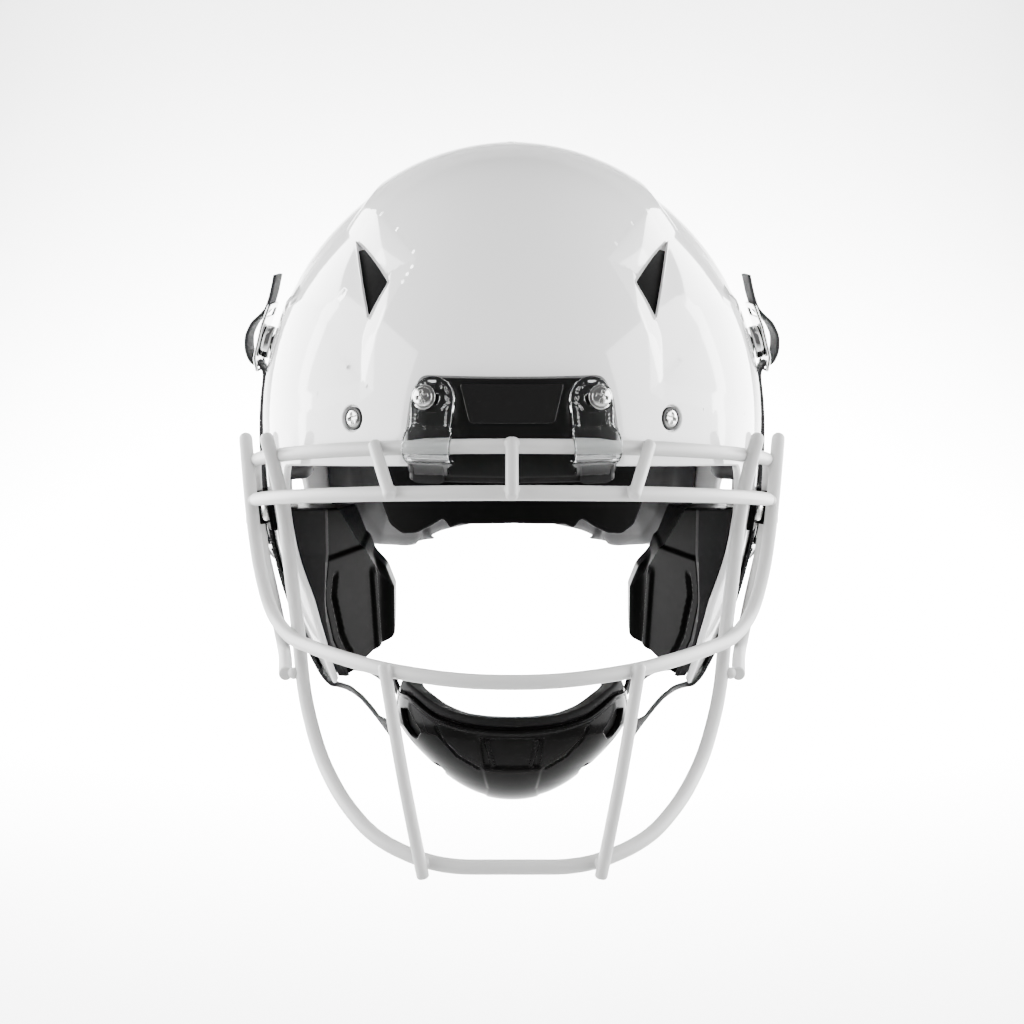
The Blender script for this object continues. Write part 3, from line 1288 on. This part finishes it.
brow_right = front_round([
    (0.0, 18.6), (-22.5, 17.8), (-26.2, 15.8), (-29.2, 20.0), (-35.0, 16.0), (-41.0, 12.6), (-47.0, 11.8),
    (-52.5, 15.5), (-56.0, 25.0), (-58.0, 60.0), (-58.0, 96.0), (-77.0, 101.0), (-75.0, 128.0)])
brow_top = front_round([(-40.0, 136.5), (0.0, 138.0)])
brow_outline = soften(both_sides(np.vstack([brow_right, brow_top])), 1.4, 1.0)
emit("brow_pad_form", cushion(brow_outline, 24.0, 3.0, 14.0, 3.0, 5.0, 1.5), BROW, "helmet", ["brow_pad"],
     fill_level=0.9)

side_points = ((-57.0, 24.0), (-52.0, 85.0), (10.0, 98.5), (55.0, 89.0), (55.0, 21.0))
side_outline = soften(round_flat([on_side(y, z, FIT) for y, z in side_points], FIT), 1.6, 4.0)
middle = side_outline.mean(0)[0]
side_pad = cushion(side_outline, 22.0, 4.0, 22.0, 3.2, seams=[((middle, -9), (middle, 140))])
emit_pair("side_pad_form", side_pad, LINER, "helmet", ["side_pad"], fill_level=0.7)

REAR_CORNERS = ((-98, 8), (-96, 60), (-80, 82), (-18, 82), (-18, -26), (-45, -29), (-62, -35), (-84, -30),
                (-95, -14))
rear_outline = soften([rear_run(x, z) for x, z in REAR_CORNERS], 1.6, 4.0)
middle = rear_outline.mean(0)[0]
ends = rear_outline[:, 0]
rear_seams = [((ends.min(), 22.0), (ends.max(), 22.0)), ((middle, -60.0), (middle, 22.0))]
rear_pad = cushion(rear_outline, 25.5, 5.0, 24.0, 3.2, 7.0, seams=rear_seams)
emit_pair("rear_pad_form", rear_pad, LINER, "helmet", ["rear_pad"], fill_level=0.7)

NAPE_CORNERS = ((-12.5, -20), (12.5, -20), (12.5, 82), (-12.5, 82))
nape_outline = soften([rear_run(x, z) for x, z in NAPE_CORNERS], 1.2, 3.0)
emit("nape_pad_form", cushion(nape_outline, 19.5, 2.5, 9.0, 2.4, 5.0, 1.5), LINER, "helmet", ["nape_pad"],
     fill_level=0.7)

crown_outline = soften([(-59.0, -51.0), (59.0, -51.0), (59.0, 61.0), (-59.0, 61.0)], 1.6, 6.0)
crown_seams = [((-20.0, -60.0), (-20.0, 70.0)), ((20.0, -60.0), (20.0, 70.0)), ((-60.0, 5.0), (60.0, 5.0))]
crown_pad = cushion(crown_outline, 22.0, 4.0, 20.0, 3.2, seams=crown_seams, to3d=inward_top)
emit("crown_pad_form", crown_pad, LINER, "helmet", ["crown_pad"], fill_level=0.7)

# ---- nape bumper and the CAD pieces that are shown as they are
nape_corners = ((-37.5, -19), (37.5, -19), (37.5, 11.5), (-37.5, 11.5))
nape_bumper_outline = soften([rear_run(x, z, 0) for x, z in nape_corners], 0.8, 2.4)


def nape_relief(p):
    """Raised rim round a slightly sunken field."""
    d = edge_distance(p, [nape_bumper_outline])
    return 4.4 - 0.7 * ease((d - 4.0) / 1.0)


nape_bumper = slab([nape_bumper_outline], round_map, nape_relief, 0.4, 1.4, 0.4, 1.6)
emit("nape_bumper_form", nape_bumper, RUBBER, "helmet", ["nape_bumper"])
SHOWN = {"side_clip_right": BLACK, "side_clip_left": BLACK, "side_clip_screws": STEEL, "nape_screws": STEEL,
         "tee_nuts": STEEL, "strap_studs": CHROME}
for node, material in SHOWN.items():
    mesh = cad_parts[node].data
    mesh.materials.clear()
    mesh.materials.append(material)


# ---- stage, light and camera
def area_light(name, place, target, size, power, cone=180.0):
    """Softbox; size is its width and height in metres, power in watts, cone in degrees."""
    lamp = bpy.data.lights.new(name, "AREA")
    lamp.shape = "RECTANGLE"
    lamp.size, lamp.size_y = size
    lamp.energy = power
    lamp.spread = math.radians(cone)
    obj = bpy.data.objects.new(name, lamp)
    bpy.context.scene.collection.objects.link(obj)
    place, target = Vector(place), Vector(target)
    obj.location = place
    obj.rotation_mode = "QUATERNION"
    obj.rotation_quaternion = (target - place).to_track_quat("-Z", "Y")
    return obj


def build_sweep():
    """Pale floor that curves up into a wall behind the helmet."""
    size, level, bend_start, bend, wall = 8.0, -1.2, 4.5, 2.0, 5.0
    rows = [(-size, level), (bend_start, level)]
    for a in np.linspace(0.1, math.pi / 2, 16):
        rows.append((bend_start + math.sin(a) * bend, level + bend * (1 - math.cos(a))))
    rows.append((rows[-1][0], wall))
    mesh = bpy.data.meshes.new("floor")
    verts = [(x, y, z) for y, z in rows for x in (-size, size)]
    faces = [(2 * i, 2 * i + 1, 2 * i + 3, 2 * i + 2) for i in range(len(rows) - 1)]
    mesh.from_pydata(verts, [], faces)
    mesh.polygons.foreach_set("use_smooth", [True] * len(mesh.polygons))
    mesh.materials.append(finish_of("pale_floor", 0.92, 0.8, (30.0, 0.02)))
    floor = bpy.data.objects.new("floor", mesh)
    bpy.context.scene.collection.objects.link(floor)


def build_lights():
    """Dim room, softboxes beside and behind the helmet, a light on the sweep and a front fill."""
    world = bpy.data.worlds.new("studio")
    bpy.context.scene.world = world
    world.use_nodes = True
    background = world.node_tree.nodes["Background"]
    background.inputs["Color"].default_value = (1, 1, 1, 1)
    background.inputs["Strength"].default_value = 0.15
    for side, sign in (("left", -1), ("right", 1)):
        area_light("soft_" + side, (1.25 * sign, -0.15, 0.2), (0, 0, 0.03), (1.5, 1.3), 50.0)
        area_light("rear_" + side, (1.75 * sign, 1.35, 0.3), (0, 0, 0.1), (1.5, 1.9), 120.0)
    area_light("sweep_light", (0, 4.3, 2.4), (0, 4.6, -1.2), (4.5, 3.0), 1500.0, 90.0)
    fill_light = area_light("front_fill", (0, -1.9, 1.9), (0, 0, 0), (1.6, 1.0), 66.0)
    fill_light.visible_glossy = False


def build_camera():
    """Camera level with the crown, looking 10 degrees down at the face."""
    camera = bpy.data.objects.new("camera", bpy.data.cameras.new("camera"))
    bpy.context.scene.collection.objects.link(camera)
    camera.location = (0.0, -0.8863, 0.1563)
    camera.rotation_euler = (math.radians(80), 0, 0)
    camera.data.sensor_width = 36.0
    camera.data.lens = 64.34
    camera.data.clip_start = 0.01
    bpy.context.scene.camera = camera


build_sweep()
build_lights()
build_camera()
